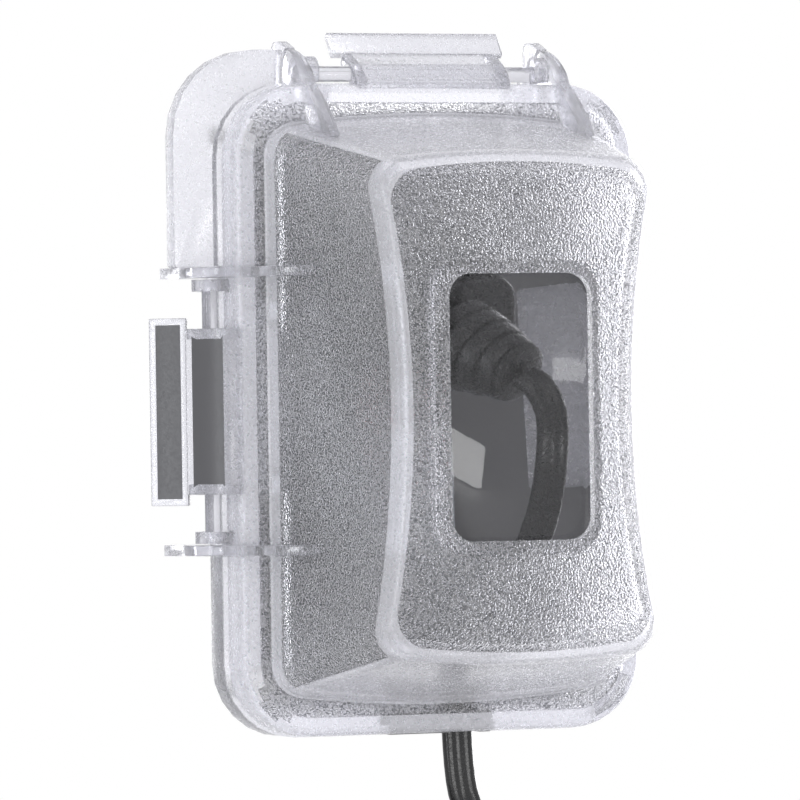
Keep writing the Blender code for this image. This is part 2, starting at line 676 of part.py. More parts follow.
def window_pane():
    outline = round_rect(WINDOW_HALF_W + 3.0, WINDOW_HALF_H + 3.0, WINDOW_R + 2.0, steps=4)
    back = FACE_FRONT + WALL_T + 2.0
    slab("window_pane", [outline], FACE_FRONT + WALL_T + 0.3, back, "smoky")


# ---------------------------------------------------------------- the plug and its cord

def plug():
    """A moulded plug, wider where it meets the receptacle, with its two blades."""
    sections = []
    rows = [
        (-11.3, 12.7, 13.0, 0.0, 17.3),
        (-15.0, 12.7, 13.0, 0.0, 17.3),
        (-36.0, 12.5, 9.6, 0.3, 14.3),
        (-37.6, 11.2, 8.3, 0.3, 14.3),
    ]
    for y, half_w, half_h, x, z in rows:
        sections.append((y, round_rect(half_w, half_h, 4.0, (x, z), 3)))
    body = loft("plug_body", sections, "black")
    start = Vector(RELIEF[0])
    along = (Vector(RELIEF[1]) - start).normalized()
    join(body, rod("plug_neck", start - along * 9.0, start - along * 0.3, 7.4, "black", 20, 6.4))
    for name, x, half in (("plug_blade_neutral", -BLADE_X, 3.95), ("plug_blade_hot", BLADE_X, 3.15)):
        low = (x - 0.75, -11.0, SLOT_Z[0] - half)
        box(name, low, (x + 0.75, 6.5, SLOT_Z[0] + half), "brass", 0.3)


def strain_relief():
    """A tapered sleeve that leads the cord forward and turns it downward."""
    start, end = RELIEF
    relief = rod("plug_strain_relief", start, end, 5.4, "black", 20, 4.2)
    smooth_round(relief)


def catmull(points, step):
    """Points about step apart on the smooth curve through a route's own points."""
    guide = [2 * points[0] - points[1], *points, 2 * points[-1] - points[-2]]
    fine = [points[0]]
    for k in range(1, len(guide) - 2):
        p0, p1, p2, p3 = guide[k - 1 : k + 3]
        for j in range(1, 25):
            t = j / 24
            fine.append(
                0.5
                * (
                    2 * p1
                    + (p2 - p0) * t
                    + (2 * p0 - 5 * p1 + 4 * p2 - p3) * t * t
                    + (3 * p1 - p0 - 3 * p2 + p3) * t * t * t
                )
            )
    kept = [fine[0]]
    run = 0.0
    for before, point in zip(fine, fine[1:], strict=False):
        run += (point - before).length
        if run >= step:
            kept.append(point)
            run = 0.0
    if (kept[-1] - fine[-1]).length > step / 3:
        kept.append(fine[-1])
    return kept


def cord_tube(name, route):
    """A round tube of the cord's width along a route in millimetres."""
    data = bpy.data.curves.new(name, "CURVE")
    data.dimensions = "3D"
    data.bevel_depth = CORD_D * MM / 2
    data.bevel_resolution = 2
    data.use_fill_caps = True
    points = catmull([Vector(p) for p in route], CORD_D)
    spline = data.splines.new("POLY")
    spline.points.add(len(points) - 1)
    for target, point in zip(spline.points, points, strict=True):
        target.co = (*(point * MM), 1.0)
    data.materials.append(material("black"))
    obj = bpy.data.objects.new(name, data)
    PARTS.objects.link(obj)


def cord():
    cord_tube("supply_cord", CORD_ROUTE)
    ring("cord_coil", COIL_CENTRE, COIL_INNER_R, COIL_OUTER_R, COIL_WIDTH, "black", 40)
    cord_tube("cord_tail", TAIL_ROUTE)
    coil_tie()
    connector()


def coil_tie():
    """A strap round the bundle of turns."""
    middle = (COIL_INNER_R + COIL_OUTER_R) / 2
    half_r = (COIL_OUTER_R - COIL_INNER_R) / 2 + 0.5
    half_w = COIL_WIDTH / 2 + 0.5
    outer = round_rect(half_r + 1.2, half_w + 1.2, 2.0, (middle, 0.0), 3)
    inner = round_rect(half_r, half_w, 1.2, (middle, 0.0), 3)
    tie = slab("coil_tie", [outer, inner], -5.0, 5.0, "black", "XY")
    turn = Matrix.Rotation(math.radians(-TIE_ANGLE), 4, "Y")
    tie.matrix_world = Matrix.Translation(Vector(COIL_CENTRE) * MM) @ turn


def connector():
    """The cord's far end: a small two-way connector with its own tapered sleeve."""
    top = Vector(TAIL_ROUTE[-1])
    along = (top - Vector(TAIL_ROUTE[-2])).normalized()
    neck = top + along * 0.3
    collar = neck + along * 9.0
    smooth_round(rod("connector_relief", neck, collar, 4.4, "black", 20, 5.6))
    size = (19.0, 13.0, 25.0)
    bm = bmesh.new()
    bmesh.ops.create_cube(bm, size=1.0)
    bmesh.ops.scale(bm, vec=[s * MM for s in size], verts=bm.verts)
    body = add_mesh("cord_connector", bm, "black")
    body.rotation_mode = "QUATERNION"
    body.rotation_quaternion = (-along).to_track_quat("Z", "Y")
    body.location = (collar + along * (size[2] / 2 + 0.3)) * MM
    rounding = body.modifiers.new("rounding", "BEVEL")
    rounding.width = 2.0 * MM
    rounding.segments = 2


wall_gasket()
back_plate()
insert_plate()
wall_screws()
cord_port_seal()
device_strap()
strap_screws()
receptacle_face()
receptacle_body()
buttons()
terminals()
inner_works()
hinge_pins()
LID = lid_shell()
window_pane()
plug()
strain_relief()
cord()
add_booleans()
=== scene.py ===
"""Looks for a weatherproof receptacle cover with a plug and cord in it.

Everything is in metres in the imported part's own frame: +Y goes into the wall, +Z is up.
Sizes below are written in millimetres and multiplied by MM.
"""

import json
import math

import bmesh
import bpy
from mathutils import Matrix, Vector

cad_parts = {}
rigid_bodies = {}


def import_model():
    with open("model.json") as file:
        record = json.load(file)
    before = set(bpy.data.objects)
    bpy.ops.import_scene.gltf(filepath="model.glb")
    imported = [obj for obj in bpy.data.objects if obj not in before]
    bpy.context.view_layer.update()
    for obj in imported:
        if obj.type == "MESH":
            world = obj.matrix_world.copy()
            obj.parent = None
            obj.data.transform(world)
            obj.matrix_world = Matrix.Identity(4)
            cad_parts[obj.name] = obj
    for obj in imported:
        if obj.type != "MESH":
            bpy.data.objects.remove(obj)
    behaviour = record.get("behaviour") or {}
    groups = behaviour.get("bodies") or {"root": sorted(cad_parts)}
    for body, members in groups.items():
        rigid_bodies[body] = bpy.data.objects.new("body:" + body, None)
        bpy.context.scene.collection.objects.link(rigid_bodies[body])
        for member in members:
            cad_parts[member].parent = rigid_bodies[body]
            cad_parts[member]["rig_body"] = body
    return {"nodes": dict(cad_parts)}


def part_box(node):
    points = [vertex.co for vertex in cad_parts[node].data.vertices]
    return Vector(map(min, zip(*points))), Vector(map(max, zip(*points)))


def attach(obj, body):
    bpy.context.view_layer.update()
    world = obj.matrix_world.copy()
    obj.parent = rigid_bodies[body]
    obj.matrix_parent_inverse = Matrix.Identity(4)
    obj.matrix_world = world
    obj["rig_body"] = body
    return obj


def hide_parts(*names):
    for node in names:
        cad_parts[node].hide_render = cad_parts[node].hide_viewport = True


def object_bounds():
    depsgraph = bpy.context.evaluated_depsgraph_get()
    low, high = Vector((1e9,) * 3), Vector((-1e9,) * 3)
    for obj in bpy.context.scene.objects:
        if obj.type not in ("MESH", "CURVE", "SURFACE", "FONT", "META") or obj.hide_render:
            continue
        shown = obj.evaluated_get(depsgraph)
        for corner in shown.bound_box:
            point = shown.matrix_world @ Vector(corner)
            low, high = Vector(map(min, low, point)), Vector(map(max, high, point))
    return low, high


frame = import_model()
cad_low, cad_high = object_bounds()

MM = 0.001


# ------------------------------------------------------------------ camera, light, floor

def aim(azimuth, distance, target, lean):
    """A level camera; azimuth 0 looks along +Y, and lean rolls it."""
    turn = math.radians(azimuth)
    ahead = Vector((-math.sin(turn), math.cos(turn), 0.0))
    right = Vector((math.cos(turn), math.sin(turn), 0.0))
    up = Vector((0.0, 0.0, 1.0))
    roll = math.radians(lean)
    side = right * math.cos(roll) - up * math.sin(roll)
    top = up * math.cos(roll) + right * math.sin(roll)
    data = bpy.data.cameras.new("camera")
    data.lens = 311.8
    data.sensor_width = 36.0
    data.shift_x = -0.051
    data.shift_y = 0.010
    data.clip_end = 30.0
    camera = bpy.data.objects.new("camera", data)
    axes = Matrix((side, top, -ahead)).transposed().to_4x4()
    camera.matrix_world = Matrix.Translation(target - ahead * distance) @ axes
    bpy.context.scene.collection.objects.link(camera)
    bpy.context.scene.camera = camera


def softbox(name, place, target, width, height, power, colour):
    """A rectangular lamp turned towards its target."""
    data = bpy.data.lights.new(name, "AREA")
    data.shape = "RECTANGLE"
    data.size = width
    data.size_y = height
    data.energy = power
    data.color = colour
    light = bpy.data.objects.new(name, data)
    light.location = place
    light.rotation_euler = (Vector(target) - Vector(place)).to_track_quat("-Z", "Y").to_euler()
    bpy.context.scene.collection.objects.link(light)


def studio():
    """The camera, four lamps and a room that is brighter on the far right, seen as plain white."""
    aim(-23.0, 1.6, Vector((0.0, -0.020, 0.0)), 0.9)
    middle = (0.0, -0.03, 0.0)
    softbox("key", (-0.55, -1.25, 0.85), middle, 1.2, 1.2, 6.0, (1.0, 0.99, 0.98))
    softbox("side_strip", (-1.25, -0.5, 0.0), middle, 0.16, 1.2, 5.5, (0.95, 0.97, 1.0))
    softbox("low_strip", (-0.2, -1.1, -0.18), middle, 1.0, 0.12, 2.5, (1.0, 1.0, 1.0))
    softbox("back", (1.1, 0.8, 0.1), middle, 0.6, 1.0, 14.0, (1.0, 1.0, 1.0))
    world = bpy.data.worlds.new("studio")
    bpy.context.scene.world = world
    world.use_nodes = True
    nodes = world.node_tree.nodes
    links = world.node_tree.links
    nodes.clear()
    out = nodes.new("ShaderNodeOutputWorld")
    mixed = nodes.new("ShaderNodeMixShader")
    seen = nodes.new("ShaderNodeBackground")
    seen.inputs["Color"].default_value = (1.0, 1.0, 1.0, 1.0)
    seen.inputs["Strength"].default_value = 1.0
    room = nodes.new("ShaderNodeBackground")
    room.inputs["Strength"].default_value = 1.12
    path = nodes.new("ShaderNodeLightPath")
    place = nodes.new("ShaderNodeTexCoord")
    toward = nodes.new("ShaderNodeVectorMath")
    toward.operation = "DOT_PRODUCT"
    toward.inputs[1].default_value = Vector((0.72, 0.60, -0.35)).normalized()
    ramp = nodes.new("ShaderNodeValToRGB")
    ramp.color_ramp.elements[0].position = 0.0
    ramp.color_ramp.elements[0].color = (0.42, 0.42, 0.44, 1.0)
    ramp.color_ramp.elements[1].position = 1.0
    ramp.color_ramp.elements[1].color = (1.00, 1.00, 1.02, 1.0)
    span = nodes.new("ShaderNodeMapRange")
    span.inputs["From Min"].default_value = -1.0
    span.inputs["From Max"].default_value = 1.0
    links.new(place.outputs["Generated"], toward.inputs[0])
    links.new(toward.outputs["Value"], span.inputs["Value"])
    links.new(span.outputs["Result"], ramp.inputs["Fac"])
    links.new(ramp.outputs["Color"], room.inputs["Color"])
    links.new(path.outputs["Is Camera Ray"], mixed.inputs["Fac"])
    links.new(room.outputs["Background"], mixed.inputs[1])
    links.new(seen.outputs["Background"], mixed.inputs[2])
    links.new(mixed.outputs["Shader"], out.inputs["Surface"])
    bpy.context.scene.view_settings.view_transform = "Standard"


def floor(surface):
    """A plain floor a little below the lowest piece."""
    bm = bmesh.new()
    bmesh.ops.create_grid(bm, x_segments=1, y_segments=1, size=2.0)
    bmesh.ops.translate(bm, vec=(0, 0, cad_low[2] - 0.06), verts=bm.verts)
    data = bpy.data.meshes.new("floor")
    bm.to_mesh(data)
    bm.free()
    data.materials.append(surface)
    ground = bpy.data.objects.new("floor", data)
    bpy.context.scene.collection.objects.link(ground)


# ------------------------------------------------------------------ finishes

def grain_group():
    """Two sizes of fine grain over a surface, as a height and as a speck mask."""
    group = bpy.data.node_groups.new("moulded_grain", "ShaderNodeTree")
    face = group.interface
    face.new_socket("Vector", in_out="INPUT", socket_type="NodeSocketVector")
    face.new_socket("Fine", in_out="INPUT", socket_type="NodeSocketFloat")
    face.new_socket("Broad", in_out="INPUT", socket_type="NodeSocketFloat")
    face.new_socket("Height", in_out="OUTPUT", socket_type="NodeSocketFloat")
    face.new_socket("Specks", in_out="OUTPUT", socket_type="NodeSocketFloat")
    face.new_socket("Cloud", in_out="OUTPUT", socket_type="NodeSocketFloat")
    nodes = group.nodes
    links = group.links
    given = nodes.new("NodeGroupInput")
    made = nodes.new("NodeGroupOutput")
    fine = nodes.new("ShaderNodeTexNoise")
    fine.inputs["Detail"].default_value = 2.0
    fine.inputs["Roughness"].default_value = 0.6
    cell = nodes.new("ShaderNodeTexVoronoi")
    cell.feature = "SMOOTH_F1"
    cell.inputs["Smoothness"].default_value = 0.4
    broad = nodes.new("ShaderNodeTexNoise")
    broad.inputs["Detail"].default_value = 3.0
    both = nodes.new("ShaderNodeMath")
    both.operation = "ADD"
    specks = nodes.new("ShaderNodeMapRange")
    specks.inputs["From Min"].default_value = 0.47
    specks.inputs["From Max"].default_value = 0.62
    for texture in (fine, cell, broad):
        links.new(given.outputs["Vector"], texture.inputs["Vector"])
    links.new(given.outputs["Fine"], fine.inputs["Scale"])
    links.new(given.outputs["Fine"], cell.inputs["Scale"])
    links.new(given.outputs["Broad"], broad.inputs["Scale"])
    links.new(fine.outputs["Fac"], both.inputs[0])
    links.new(cell.outputs["Distance"], both.inputs[1])
    links.new(both.outputs["Value"], made.inputs["Height"])
    links.new(fine.outputs["Fac"], specks.inputs["Value"])
    links.new(specks.outputs["Result"], made.inputs["Specks"])
    links.new(broad.outputs["Fac"], made.inputs["Cloud"])
    return group


GRAIN = grain_group()


def finish(
    name, colour, second, rough, bump, fine=1500.0, broad=60.0, depth=0.1, flecks=None,
    lamps=None, **plain,
):
    """A moulded or metal surface: two near colours, two roughnesses and a grain bump.

    depth is the height of the grain in millimetres and flecks its own colour, where it has one.
    lamps is the tint that a see-through wall gives to lamp light, which goes straight through it.
    """
    made = bpy.data.materials.new(name)
    made.use_nodes = True
    nodes = made.node_tree.nodes
    links = made.node_tree.links
    shader = nodes["Principled BSDF"]
    for socket, value in plain.items():
        shader.inputs[socket.replace("_", " ")].default_value = value
    place = nodes.new("ShaderNodeTexCoord")
    grain = nodes.new("ShaderNodeGroup")
    grain.node_tree = GRAIN
    grain.inputs["Fine"].default_value = fine
    grain.inputs["Broad"].default_value = broad
    links.new(place.outputs["Object"], grain.inputs["Vector"])
    blend = nodes.new("ShaderNodeMix")
    blend.data_type = "RGBA"
    blend.inputs["A"].default_value = (*colour, 1.0)
    blend.inputs["B"].default_value = (*second, 1.0)
    links.new(grain.outputs["Cloud"], blend.inputs["Factor"])
    tone = blend
    if flecks is not None:
        tone = nodes.new("ShaderNodeMix")
        tone.data_type = "RGBA"
        tone.inputs["B"].default_value = (*flecks, 1.0)
        links.new(grain.outputs["Specks"], tone.inputs["Factor"])
        links.new(blend.outputs["Result"], tone.inputs["A"])
    links.new(tone.outputs["Result"], shader.inputs["Base Color"])
    dull = nodes.new("ShaderNodeMapRange")
    dull.inputs["To Min"].default_value = rough[0]
    dull.inputs["To Max"].default_value = rough[1]
    links.new(grain.outputs["Specks"], dull.inputs["Value"])
    links.new(dull.outputs["Result"], shader.inputs["Roughness"])
    relief = nodes.new("ShaderNodeBump")
    relief.inputs["Strength"].default_value = bump
    relief.inputs["Distance"].default_value = depth * MM
    links.new(grain.outputs["Height"], relief.inputs["Height"])
    links.new(relief.outputs["Normal"], shader.inputs["Normal"])
    if lamps is not None:
        path = nodes.new("ShaderNodeLightPath")
        through = nodes.new("ShaderNodeBsdfTransparent")
        through.inputs["Color"].default_value = (lamps, lamps, lamps, 1.0)
        either = nodes.new("ShaderNodeMixShader")
        links.new(path.outputs["Is Shadow Ray"], either.inputs[0])
        links.new(shader.outputs["BSDF"], either.inputs[1])
        links.new(through.outputs["BSDF"], either.inputs[2])
        links.new(either.outputs["Shader"], nodes["Material Output"].inputs["Surface"])
    return made


FROST = finish(
    "frosted_polycarbonate", (0.99, 0.99, 1.0), (0.94, 0.94, 0.97), (0.16, 0.4), 1.0, 2100.0,
    depth=0.34, flecks=(0.24, 0.24, 0.26), lamps=0.84, Transmission_Weight=0.84, IOR=1.45,
)
SATIN = finish(
    "satin_polycarbonate", (0.84, 0.84, 0.87), (0.76, 0.76, 0.80), (0.18, 0.28), 0.15, 900.0,
    lamps=0.78, Transmission_Weight=0.80, IOR=1.45,
)
MILKY = finish(
    "milky_polycarbonate", (0.95, 0.95, 0.99), (0.90, 0.90, 0.95), (0.2, 0.3), 0.25, 1100.0,
    lamps=0.80, Transmission_Weight=0.60, IOR=1.45,
)
INSIDE = finish(
    "polished_inner_wall", (0.97, 0.97, 1.0), (0.94, 0.94, 0.97), (0.04, 0.08), 0.02, 500.0,
    lamps=0.86, Transmission_Weight=1.0, IOR=1.45,
)
CLEAR = finish(
    "clear_polycarbonate", (0.80, 0.80, 0.83), (0.68, 0.68, 0.72), (0.08, 0.2), 0.08, 700.0,
    lamps=0.7, Transmission_Weight=0.86, IOR=1.45,
)
# Painted shade: an opaque dark grey for the side flap's and lip's recess, standing in for the shaded
# inside of the box seen there.
RECESS_PAINTED_SHADE = finish(
    "recess_painted_shade", (0.10, 0.10, 0.105), (0.08, 0.08, 0.085), (0.35, 0.45), 0.05, 1500.0,
)
SMOKE = finish(
    "smoked_pane", (0.76, 0.76, 0.77), (0.74, 0.74, 0.75), (0.01, 0.03), 0.01, 500.0,
    lamps=0.62, Transmission_Weight=1.0, IOR=1.45,
)
GREY = finish("grey_moulding", (0.13, 0.13, 0.133), (0.11, 0.11, 0.113), (0.42, 0.55), 0.2)
DARK = finish("dark_moulding", (0.035, 0.035, 0.037), (0.05, 0.05, 0.052), (0.4, 0.55), 0.2)
LIGHT = finish("pale_grey_nylon", (0.46, 0.47, 0.50), (0.42, 0.43, 0.46), (0.3, 0.4), 0.08)
# The receptacle face is white nylon, but its colour is set to a mid grey: painted shade for the face
# deep in the box behind the smoked pane.
WHITE_IN_PAINTED_SHADE = finish("white_nylon_painted_shade", (0.42, 0.43, 0.46), (0.39, 0.40, 0.43), (0.3, 0.4), 0.06)
BLACK = finish("black_vinyl", (0.010, 0.010, 0.010), (0.016, 0.016, 0.016), (0.22, 0.32), 0.12)
FOAM = finish("foam_rubber", (0.60, 0.60, 0.62), (0.50, 0.50, 0.52), (0.85, 0.95), 1.0, 1800.0)
ZINC = finish(
    "zinc_plate", (0.62, 0.62, 0.60), (0.52, 0.52, 0.50), (0.25, 0.4), 0.15, Metallic=1.0
)
BRASS = finish("brass", (0.75, 0.55, 0.24), (0.66, 0.46, 0.20), (0.2, 0.35), 0.1, Metallic=1.0)
GREEN = finish("green_paint", (0.04, 0.38, 0.10), (0.03, 0.30, 0.08), (0.3, 0.4), 0.1)
RED = finish("red_nylon", (0.50, 0.05, 0.04), (0.42, 0.04, 0.03), (0.3, 0.4), 0.08)
LAMINATE = finish("board_laminate", (0.04, 0.20, 0.09), (0.03, 0.15, 0.07), (0.4, 0.5), 0.1)
COPPER = finish(
    "enamelled_wire", (0.62, 0.28, 0.12), (0.52, 0.22, 0.10), (0.3, 0.4), 0.6, 2500.0,
    Coat_Weight=0.4,
)
PALE = finish("pale_floor", (0.82, 0.82, 0.82), (0.80, 0.80, 0.80), (0.6, 0.7), 0.02, 40.0, 3.0)


# ------------------------------------------------------------------ making pieces

def keep(name, bm, finishes, body, smooth=40.0, stands_for=(), turn_out=True):
    """Makes a finished piece of a bmesh and lets it ride on its body."""
    if turn_out:
        bmesh.ops.recalc_face_normals(bm, faces=bm.faces)
    for face in bm.faces:
        face.smooth = True
    limit = math.radians(smooth)
    for edge in bm.edges:
        if len(edge.link_faces) == 2:
            edge.smooth = edge.calc_face_angle() < limit
    data = bpy.data.meshes.new(name)
    bm.to_mesh(data)
    bm.free()
    for material in finishes:
        data.materials.append(material)
    made = bpy.data.objects.new(name, data)
    bpy.context.scene.collection.objects.link(made)
    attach(made, body)
    if stands_for:
        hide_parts(*stands_for)
    return made


def flat(points, plane):
    """A bmesh with one face; plane says which two axes the points are on."""
    bm = bmesh.new()
    verts = []
    for a, b in points:
        places = {"XZ": (a, 0, b), "YZ": (0, a, b), "XY": (a, b, 0)}
        verts.append(bm.verts.new(Vector(places[plane]) * MM))
    bm.faces.new(verts)
    return bm


def thicken(bm, plane, low, high):
    """Turns flat()'s face into a plate from low to high on the third axis."""
    axis = {"XZ": Vector((0, 1, 0)), "YZ": Vector((1, 0, 0)), "XY": Vector((0, 0, 1))}[plane]
    bmesh.ops.translate(bm, vec=axis * low * MM, verts=bm.verts)
    made = bmesh.ops.extrude_face_region(bm, geom=list(bm.faces))
    top = [item for item in made["geom"] if isinstance(item, bmesh.types.BMVert)]
    bmesh.ops.translate(bm, vec=axis * (high - low) * MM, verts=top)
    return bm


def ease(bm, width, segments=2, angle=32.0):
    """Rounds every edge sharper than angle."""
    bmesh.ops.recalc_face_normals(bm, faces=bm.faces)
    sharp = [e for e in bm.edges if e.calc_face_angle(0.0) > math.radians(angle)]
    bmesh.ops.bevel(
        bm, geom=sharp, offset=width * MM, segments=segments, profile=0.5, affect="EDGES",
        material=-1, clamp_overlap=True,
    )


def carve(target, cutters):
    """Cuts closed bmeshes out of a piece and takes the result as its mesh."""
    for bm in cutters:
        bmesh.ops.recalc_face_normals(bm, faces=bm.faces)
        data = bpy.data.meshes.new("cutter")
        bm.to_mesh(data)
        bm.free()
        cutter = bpy.data.objects.new("cutter", data)
        bpy.context.scene.collection.objects.link(cutter)
        step = target.modifiers.new("carve", "BOOLEAN")
        step.object = cutter
        step.operation = "DIFFERENCE"
        step.solver = "EXACT"
    bpy.context.view_layer.update()
    graph = bpy.context.evaluated_depsgraph_get()
    carved = bpy.data.meshes.new_from_object(target.evaluated_get(graph))
    used = [step.object for step in target.modifiers if step.type == "BOOLEAN"]
    target.modifiers.clear()
    target.data = carved
    for cutter in used:
        bpy.data.objects.remove(cutter)


def arc(centre, radius, first, last, steps):
    """Points on a circle between two angles in degrees."""
    points = []
    for k in range(steps + 1):
        turn = math.radians(first + (last - first) * k / steps)
        points.append((centre[0] + radius * math.cos(turn), centre[1] + radius * math.sin(turn)))
    return points


def bar(start, end, radius, sides=32, radius_end=None):
    """A closed round bar between two points, in millimetres."""
    bm = bmesh.new()
    start = Vector(start)
    end = Vector(end)
    turn = (end - start).to_track_quat("Z", "Y").to_matrix().to_4x4()
    place = Matrix.Translation((start + end) / 2 * MM) @ turn
    bmesh.ops.create_cone(
        bm, cap_ends=True, segments=sides, radius1=radius * MM,
        radius2=(radius if radius_end is None else radius_end) * MM,
        depth=(end - start).length * MM, matrix=place,
    )
    return bm


# ------------------------------------------------------------------ the lid

COVER = (50.0, 75.0, 17.0)
PIN_Y = -12.5
PIN_OUT = 2.4
SIDE_SHIFT = 1.5
EARS = ((-33.0, -30.6), (30.6, 33.0))
CORNER_STEPS = 8
LONG_STEPS = 28
SHORT_STEPS = 18


def ring_places():
    """Round a rectangle with round corners: which corner, where along a side, which way out."""
    places = []
    corners = [(1, 1, 0.0), (-1, 1, 90.0), (-1, -1, 180.0), (1, -1, 270.0)]
    for k, (sx, sz, turn) in enumerate(corners):
        for j in range(CORNER_STEPS + 1):
            angle = math.radians(turn + 90.0 * j / CORNER_STEPS)
            places.append((sx, sz, math.cos(angle), math.sin(angle)))
        steps = SHORT_STEPS if k % 2 == 0 else LONG_STEPS
        for j in range(1, steps):
            t = 1 - 2 * j / steps
            if k % 2 == 0:
                places.append((sx * t, sz, 0.0, sz))
            else:
                places.append((sx, sz * t, sx, 0.0))
    return places


def on_ring(place, y, half_w, half_h, radius, waist=0.0, crown=0.0, mid_x=0.0, mid_z=0.0):
    """A place on the outline at y; waist draws the long sides in and crown lifts the short ones."""
    fx, fz, nx, nz = place
    x = fx * (half_w - radius) + radius * nx
    z = fz * (half_h - radius) + radius * nz
    x -= math.copysign(waist, x) * max(0.0, 1 - (z / (half_h - radius)) ** 2) * abs(nx)
    z += math.copysign(crown, z) * max(0.0, 1 - (x / (half_w - radius)) ** 2) * abs(nz)
    return Vector((x + mid_x, y, z + mid_z)) * MM


def draw_out(sections):
    """A solid drawn from one outline through the next, closed at both ends."""
    places = ring_places()
    bm = bmesh.new()
    loop = [bm.verts.new(on_ring(place, *sections[0])) for place in places]
    edges = [bm.edges.new((loop[k - 1], loop[k])) for k in range(len(loop))]
    bmesh.ops.contextual_create(bm, geom=edges)
    for section in sections[1:]:
        at = {v.co.copy().freeze(): k for k, v in enumerate(loop)}
        grown = bmesh.ops.extrude_edge_only(bm, edges=edges)["geom"]
        edges = [item for item in grown if isinstance(item, bmesh.types.BMEdge)]
        loop = sorted(
            (item for item in grown if isinstance(item, bmesh.types.BMVert)),
            key=lambda v: at[v.co.copy().freeze()],
        )
        for vert, place in zip(loop, places, strict=True):
            vert.co = on_ring(place, *section)
    bmesh.ops.contextual_create(bm, geom=edges)
    return bm


def bubble():
    """Skirt, flange and dome in one wall, hollow behind, with its holes cut."""
    w, h, r = COVER
    sections = [
        (-11.3, w, h, r),
        (-17.2, w, h, r),
        (-18.6, w - 0.3, h - 0.3, r - 0.3),
        (-19.5, w - 1.0, h - 1.0, r - 1.0),
        (-20.0, w - 2.3, h - 2.3, r - 2.3),
        (-20.0, w - 4.4, h - 4.4, r - 4.4),
        (-19.7, w - 4.8, h - 4.8, r - 4.8),
        (-19.7, 43.9, 66.9, 9.0, 0.0, 2.2),
        (-20.1, 43.0, 66.0, 8.0, 0.0, 2.2),
        (-21.2, 42.2, 65.2, 7.2, 0.0, 2.2),
        (-23.0, 41.6, 64.6, 7.0, 0.2, 2.2),
    ]
    for y in (-30.0, -38.0, -46.0, -54.0):
        t = (y + 20.0) / (-61.5 + 20.0)
        sections.append(
            (y, 42.0 - 7.8 * t, 65.0 - 8.2 * t, 7.0, 4.7 * t, 2.2 - 0.7 * t)
        )
    rim = [(-61.0, 0.0), (-62.6, 0.15), (-64.2, 0.8), (-65.6, 1.8), (-66.6, 3.1), (-67.0, 4.8)]
    for y, inset in rim:
        sections.append((y, 34.2 - inset, 56.8 - inset, 7.5, 4.7, 1.5))
    bm = draw_out(sections)
    bmesh.ops.recalc_face_normals(bm, faces=bm.faces)
    for face in bm.faces:
        middle = face.calc_center_median() / MM
        on_face = middle.y < -66.5
        on_side = abs(face.normal.x) > 0.55 and -61.5 < middle.y < -24.0
        on_flange = -20.05 < middle.y < -19.65 and abs(middle.x) < w - 4.5 and abs(middle.z) < h - 4.5
        face.material_index = 0 if on_face or on_side or on_flange else 1
    shell = keep("lid_bubble", bm, (FROST, MILKY, INSIDE), "lid", 34.0, ["lid_shell"])
    hollow = [(-9.0, w - 2.4, h - 2.4, r - 2.4), (-17.3, w - 2.4, h - 2.4, r - 2.4)]
    hollow.append((-17.5, 40.4, 63.4, 6.0, 0.0, 2.2))
    for y in (-19.0, -26.0, -34.0, -42.0, -50.0, -58.0):
        t = (y + 20.0) / (-61.5 + 20.0)
        hollow.append((y, 39.5 - 7.8 * t, 62.5 - 8.2 * t, 5.0, 4.7 * max(0.0, t), 2.2 - 0.7 * t))
    for y, inset in ((-61.5, 0.2), (-63.3, 1.2), (-64.2, 2.4), (-64.5, 4.0)):
        hollow.append((y, 31.7 - inset, 54.3 - inset, 5.0, 4.7, 1.5))
    space = draw_out(hollow)
    for face in space.faces:
        face.material_index = 2
    window = flat([(17.45, 30.1), (-17.45, 30.1), (-17.45, -30.1), (17.45, -30.1)], "XZ")
    round_corners(window, 5.3)
    cutters = [space, thicken(window, "XZ", -70.0, -60.0)]
    slot = arc((33.0, -58.0), 15.2, -70.0, -20.0, 8) + arc((33.0, -58.0), 12.2, -20.0, -70.0, 8)
    cutters.append(thicken(flat(slot, "XZ"), "XZ", -25.0, -15.0))
    port = [(-13.3, -80.0), (13.3, -80.0), (13.3, -70.0), (-13.3, -70.0)]
    cutters.append(thicken(flat(port, "XZ"), "XZ", -17.4, -9.0))
    for side in ("top", "side"):
        for low, high in ((-30.5, -27.2), (27.2, 30.5)):
            cutters.append(hinge_bar(side, low, high, 4.5))
    carve(shell, cutters)


def round_corners(bm, radius, segments=8):
    """Rounds the corners of a flat outline."""
    bmesh.ops.bevel(
        bm, geom=list(bm.verts), offset=radius * MM, segments=segments, profile=0.5,
        affect="VERTICES", material=-1,
    )


def hinge_bar(side, low, high, radius, sides=40):
    """A round bar on a hinge's own line."""
    if side == "top":
        z = 75.0 + PIN_OUT
        return bar((low, PIN_Y, z), (high, PIN_Y, z), radius, sides)
    x = -50.0 - PIN_OUT - SIDE_SHIFT
    return bar((x, PIN_Y, low), (x, PIN_Y, high), radius, sides)


def hinge_plate(side, outline, low, high):
    """A plate across a hinge; the outline is in y and in distance out from the cover's edge."""
    if side == "top":
        return thicken(flat([(y, 75.0 + out) for y, out in outline], "YZ"), "YZ", low, high)
    points = [(-50.0 - out - (SIDE_SHIFT if out > 0.4 else 0.0), y) for y, out in outline]
    return thicken(flat(points, "XY"), "XY", low, high)


